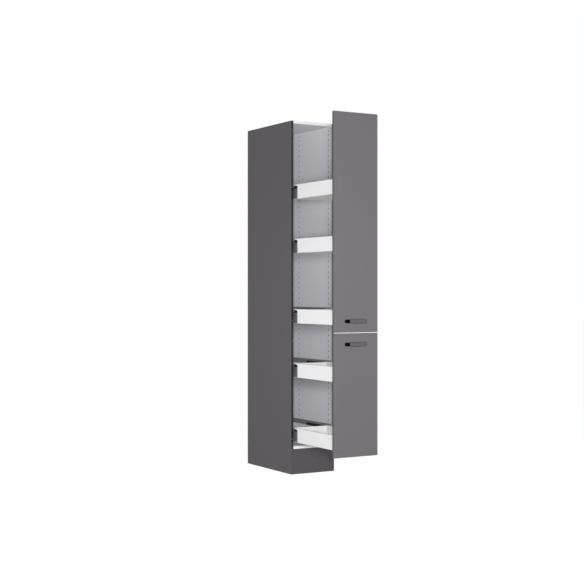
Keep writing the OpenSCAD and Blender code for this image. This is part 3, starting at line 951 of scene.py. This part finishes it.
# Painted shade: the grey of the side caps stands for shade on the inner skin.
CAP_PAINTED_SHADE = tone(110, 110, 112)
TRAY_BOARD = tone(238, 238, 238)
SKIN = 0.001
HEM_T = 0.0018
HEM_DROP = 0.0025
FLANGE_AT = 0.0051
FOLD_R = 0.0020
HEM_ROUND = SKIN * 0.8
NOSE_H = 0.009
NOSE_L = 0.036
NOSE_TIP = 0.003
CAP_T = 0.001
CAP_R = 0.003
BACK_ROUND = 0.0008


def powder_coat():
    """White powder coat on steel: a slight orange peel under an even satin sheen."""
    finish = Finish("white_powder_coat")
    peel = finish.noise(420, detail=1)
    cloud = finish.noise(3)
    return finish.done(base_color=finish.shade(POWDER, peel * 0.4 + cloud * 0.6, 0.025),
                       roughness=0.34 + peel * 0.08, normal=finish.bump(peel, 0.00005, 0.5))


def tray_side(low, high):
    """The left side: one folded sheet, whose outer skin ends in a nose before the tray's rear."""
    left, right, foot, rim = low.x, high.x, low.z, high.z
    inner = FOLD_R - SKIN
    section = rounded(
        (left, rim, HEM_ROUND), (left + HEM_T, rim, HEM_ROUND),
        (left + HEM_T, rim - HEM_DROP, ROLLED_TIP), (left + SKIN, rim - HEM_DROP, 0),
        (left + SKIN, foot + SKIN, inner), (right - SKIN, foot + SKIN, inner),
        (right - SKIN, rim - SKIN, inner), (left + FLANGE_AT, rim - SKIN, SHEET_BREAK),
        (left + FLANGE_AT, rim, SHEET_BREAK), (right, rim, FOLD_R), (right, foot, FOLD_R),
        (left, foot, FOLD_R))
    sheet = prism(section, "Y", low.y, high.y)
    beyond = high.y + CUT
    gap = [(skin_end, foot + SKIN), (skin_end, rim - NOSE_H), (skin_end + NOSE_L, rim - NOSE_TIP),
           (skin_end + NOSE_L, rim + CUT), (beyond, rim + CUT), (beyond, foot + SKIN)]
    return worked(sheet, prism(gap, "X", left - CUT, left + FLANGE_AT - CUT))


def cap_plastic():
    """Moulded plastic with a faint grain, coloured grey as painted shade."""
    finish = Finish("cap_plastic_painted_shade")
    grain = finish.cells(900, feature="SMOOTH_F1")
    return finish.done(base_color=finish.shade(CAP_PAINTED_SHADE, grain, 0.12), roughness=0.5 + grain * 0.1,
                       normal=finish.bump(grain, 0.00006, 0.4))


def side_cap(low, high):
    """The left cap: a plate with two rounded corners against the inner skin."""
    plate = rounded((low.y, low.z, 0), (high.y, low.z, CAP_R), (high.y, high.z, CAP_R),
                    (low.y, high.z, 0))
    return prism(plate, "X", low.x, low.x + CAP_T, CAP_T / 3)


def banded(axis):
    """0 for the faces that look along the axis, 1 for the rest, as a choice for piece()."""
    return lambda centre, normal: int(abs(normal[axis]) < 0.5)


powder = powder_coat()
tray_melamine = melamine("tray_melamine", TRAY_BOARD, 0.42)
tray_band = edge_band("tray_edge_band", TRAY_BOARD)
cap_shade = cap_plastic()
caps_low, caps_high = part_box("upper_tray_caps")
skin_end = caps_low.y
side_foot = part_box("tray_1_side_left")[0].z
first_side = tray_side(*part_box("tray_1_side_left"))
first_caps = pair(side_cap(Vector((caps_low.x, caps_low.y, side_foot + SKIN)), caps_high))
for tray in TRAYS:
    body = body_of(tray)
    shift = (0, 0, rims[tray] - rims[1])
    for hand in ("left", "right"):
        piece(f"steel_{hand}_side_{tray}", moved(first_side, shift, hand == "right"), [powder], body,
              "white_steel", f"tray_{tray}_side_{hand}")
    piece(f"base_board_{tray}", block(*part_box(f"tray_{tray}_base")), [tray_melamine, tray_band],
          body, "tray_board", f"tray_{tray}_base", pick=banded(2))
    piece(f"back_board_{tray}", block(*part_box(f"tray_{tray}_back"), BACK_ROUND, 3),
          [tray_melamine, tray_band], body, "tray_board", f"tray_{tray}_back", pick=banded(1))

for half, trays in (("upper", UPPER), ("lower", LOWER)):
    caps = merged(*(moved(first_caps, (0, 0, rims[tray] - rims[1])) for tray in trays))
    piece(half + "_side_caps", caps, [cap_shade], half + "_pullout", "cap_plastic", half + "_tray_caps")


# ---------------------------------------------------------------- Front brackets
# A zinc plated angle at each front end of a tray. Its tongue sits inside the steel side, held by two
# rivets, and two screws through its flange hold the front.
FLANGE_IN = 0.0155
FLANGE_UP = 0.003
FLANGE_DROP = 0.006
FLANGE_CORNER = 0.004
FLANGE_EDGE = 0.001
FLANGE_BREAK = 0.0002
FLANGE_SCREW_IN = 0.0085
FLANGE_SCREW_TOP = 0.018
FLANGE_SCREW_UP = 0.013
TONGUE_AT = 0.016
TONGUE_L = 0.040
TONGUE_DROP = 0.030
RIVET_Y = (0.014, 0.030)
RIVET_DROP = 0.052
RIVET_R = 0.003
RIVET = [(RIVET_R, -0.0002), (RIVET_R, 0.0003), (RIVET_R * 0.8, 0.0008), (RIVET_R * 0.35, 0.0010)]


def front_bracket(tray):
    """The left bracket of a tray: a flange behind the front and a tongue in the tray's side."""
    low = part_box("upper_front_brackets")[0]
    skin_low, skin_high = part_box(f"tray_{tray}_side_left")
    front, back = low.y, skin_low.y
    foot, top = skin_low.z + FLANGE_UP, rims[tray] - FLANGE_DROP
    reach, tongue_top = skin_high.x + FLANGE_IN, rims[tray] - TONGUE_DROP
    plate = rounded((low.x, foot, FLANGE_EDGE), (reach, foot, FLANGE_CORNER),
                    (reach, top, FLANGE_CORNER), (low.x, top, FLANGE_EDGE))
    flange = prism(plate, "Y", front, back, FLANGE_BREAK)
    tail = rounded((front, foot, 0), (back + TONGUE_L, foot, FLANGE_CORNER),
                   (back + TONGUE_L, tongue_top, FLANGE_CORNER), (front, tongue_top, 0))
    tongue = prism(tail, "X", from_wall(TONGUE_AT), from_wall(TRAY_SEAT_AT))
    return worked(flange, tongue, "UNION")


def bracket_spots(trays):
    """Where the screws of the front go through the flanges."""
    spots = []
    for tray in trays:
        base_low, base_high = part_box(f"tray_{tray}_base")
        for z in (rims[tray] - FLANGE_SCREW_TOP, base_high.z + FLANGE_SCREW_UP):
            spots.append(((base_low.x + FLANGE_SCREW_IN, base_low.y, z), (0, 1, 0)))
    return both_sides(spots)


def rivet_spots(trays):
    """Where the rivets of the tongues come through the inner skins."""
    low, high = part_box("tray_1_side_left")
    return both_sides([((high.x, low.y + y, rims[tray] - RIVET_DROP), (1, 0, 0))
                       for tray in trays for y in RIVET_Y])


for half, trays in (("upper", UPPER), ("lower", LOWER)):
    body = half + "_pullout"
    brackets = merged(*(pair(front_bracket(tray)) for tray in trays))
    piece(half + "_bracket_set", brackets, [zinc], body, "zinc_steel", half + "_front_brackets")
    piece(half + "_bracket_screw_set", fasteners(screw(), bracket_spots(trays), zinc, seed=11),
          [zinc], body, "zinc_steel", half + "_bracket_screws")
    piece(half + "_rivets", fasteners(lathed(RIVET), rivet_spots(trays), powder), [powder], body,
          "white_steel")


# ---------------------------------------------------------------- Fronts
# Two boards with a smooth matt grey lacquer and a darker band on their softly rounded edges. Each is
# milled out for its handle: a pocket for the finger cup and a shallow seat for the cover plate. The
# milled faces are painted black as shade: the shade in the groove round the plate and in the pocket,
# which shows as a dark line round the plate.
FRONT_GREY = tone(97, 94, 97)
FRONT_BAND = tone(58, 56, 58)
# Painted shade: the black of the milled groove and pocket.
GROOVE_SHADE = tone(12, 12, 12)
FRONT_ROUND = 0.0015
CUP_H = 0.021
CUP_DEEP = 0.013
PLATE_H = 0.024
PLATE_T = 0.002
GROOVE = 0.0013
END_STEPS = 24


def lacquer():
    """Sprayed lacquer: almost even, with a very fine orange peel."""
    finish = Finish("matt_grey_lacquer")
    cloud = finish.noise(1.6, detail=1)
    peel = finish.noise(520, detail=1)
    return finish.done(base_color=finish.shade(FRONT_GREY, cloud * 0.6 + peel * 0.4, 0.035),
                       roughness=0.5 + peel * 0.06 + cloud * 0.04,
                       normal=finish.bump(peel, 0.00004, 0.4))


def black_sealer():
    """Black painted shade on the milled board, matt and slightly uneven, with faint strokes."""
    finish = Finish("black_sealer")
    strokes = finish.noise(600, place=finish.stretched((0.1, 1, 1)))
    return finish.done(base_color=finish.shade(GROOVE_SHADE, strokes, 0.3), roughness=0.8,
                       specular_ior_level=0.1, normal=finish.bump(strokes, 0.0001, 0.5))


def slot_end(x0, x1, height, round_left):
    """A bar from x0 to x1 about Z = 0 with one round end, as an outline in X and Z."""
    r = height / 2
    arc = [math.pi * n / END_STEPS - math.pi / 2 for n in range(END_STEPS + 1)]
    if round_left:
        return [(x1, -r), (x1, r)] + [(x0 + r - r * math.cos(a), -r * math.sin(a)) for a in arc]
    return [(x0, r), (x0, -r)] + [(x1 - r + r * math.cos(a), r * math.sin(a)) for a in arc]


def at_height(outline, z):
    return [(a, b + z) for a, b in outline]


cup_low, cup_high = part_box("upper_handle_cup")
plate_low, plate_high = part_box("upper_handle_plate")
handle_z = {half: sum(corner.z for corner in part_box(half + "_handle_plate")) / 2
            for half in ("upper", "lower")}
face_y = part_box("upper_front")[0].y
grey_lacquer = lacquer()
groove_shade = black_sealer()
front_band = edge_band("front_edge_band", FRONT_BAND)


def front_finish(z):
    """0 lacquer, 1 the pocket and seat milled at height z, painted black as shade, 2 edge band, as a
    choice for piece().
    """
    def chosen(centre, normal):
        inside = abs(centre.x) < plate_high.x + 2 * GROOVE and abs(centre.z - z) < PLATE_H
        if inside and CUT / 2 < centre.y - face_y < CUP_DEEP + CUT:
            return 1
        return 2 if abs(normal.y) < 0.5 else 0
    return chosen


for half in ("upper", "lower"):
    board = block(*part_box(half + "_front"), FRONT_ROUND, 4)
    z = handle_z[half]
    pocket = at_height(slot_end(cup_low.x, cup_high.x, CUP_H, True), z)
    board = worked(board, prism(pocket, "Y", face_y - CUT, face_y + CUP_DEEP))
    seat = at_height(slot_end(plate_low.x, plate_high.x + GROOVE, PLATE_H + 2 * GROOVE, False), z)
    board = worked(board, prism(seat, "Y", face_y - CUT, face_y + PLATE_T))
    piece(half + "_front_board", board, [grey_lacquer, groove_shade, front_band], half + "_pullout",
          "front_board", half + "_front", pick=front_finish(z))


# ---------------------------------------------------------------- Handles
# A handle lies flush in its front. A black moulded cup takes the fingertips at the left end, and a
# grey metal plate covers the rest of it. The fingers hook behind the plate's straight edge.
# The cup's near-black is its black plastic plus painted shade: the shade deep in the finger pocket.
CUP_BLACK_AND_SHADE = tone(7, 7, 8)
PLATE_GREY = tone(75, 73, 75)
CUP_WALL = 0.0012
CUP_FILLET = 0.0025
CUP_BACK_EDGE = 0.0005
LIP = 0.0003
FILLET_STEPS = 4
PLATE_ROUND = 0.0004


def moulded_plastic():
    """Black plastic from a finely eroded mould, darkened further as painted shade of the deep pocket.
    """
    finish = Finish("black_plastic_and_pocket_shade")
    grain = finish.cells(1400, feature="SMOOTH_F1")
    cloud = finish.noise(60)
    return finish.done(base_color=finish.shade(CUP_BLACK_AND_SHADE, grain * 0.5 + cloud * 0.5, 0.25),
                       roughness=0.6 + cloud * 0.12, specular_ior_level=0.03,
                       normal=finish.bump(grain, 0.0001, 0.5))


def satin_metal():
    """Satin coated metal, brushed along the handle under the coat."""
    finish = Finish("satin_grey_plate")
    brushed = finish.noise(700, place=finish.stretched((0.03, 1, 1)))
    return finish.done(base_color=finish.shade(PLATE_GREY, brushed, 0.08), metallic=0.2,
                       roughness=0.4 + brushed * 0.1, normal=finish.bump(brushed, 0.00003, 0.5))


def cup_shell(z):
    """The cup: a thin wall round a milled pocket, with a fillet between its wall and its floor."""
    levels = [(0, LIP), (LIP, 0), (CUP_DEEP - CUP_BACK_EDGE, 0), (CUP_DEEP, CUP_BACK_EDGE)]
    back_ring = len(levels) - 1
    floor = CUP_DEEP - CUP_WALL
    for n in range(FILLET_STEPS + 1):
        angle = math.pi / 2 * n / FILLET_STEPS
        levels.append((floor - CUP_FILLET * (1 - math.cos(angle)),
                       CUP_WALL + CUP_FILLET * (1 - math.sin(angle))))
    levels.append((LIP, CUP_WALL))
    levels.append((0, CUP_WALL - LIP))
    bm = bmesh.new()
    rings = []
    for depth, inset in levels:
        ring = slot_end(cup_low.x + inset, cup_high.x - inset, CUP_H - 2 * inset, True)
        rings.append([bm.verts.new((x, face_y + depth, z + h)) for x, h in ring])
    for first, second in [*zip(rings, rings[1:]), (rings[-1], rings[0])]:
        if first is not rings[back_ring]:
            bridge(bm, first, second)
    bm.faces.new(rings[back_ring])
    bm.faces.new(rings[back_ring + 1])
    bmesh.ops.recalc_face_normals(bm, faces=bm.faces)
    return bm


cup_plastic = moulded_plastic()
plate_metal = satin_metal()
for half in ("upper", "lower"):
    z = handle_z[half]
    body = half + "_pullout"
    over = at_height(slot_end(plate_low.x, plate_high.x, PLATE_H, False), z)
    shell = worked(cup_shell(z), prism(over, "Y", face_y - CUT, face_y + PLATE_T))
    piece(half + "_finger_cup", shell, [cup_plastic], body, "cup_plastic", half + "_handle_cup")
    cover = prism(over, "Y", face_y, face_y + PLATE_T, PLATE_ROUND, 3)
    piece(half + "_cover_plate", cover, [plate_metal], body, "plate_metal", half + "_handle_plate")
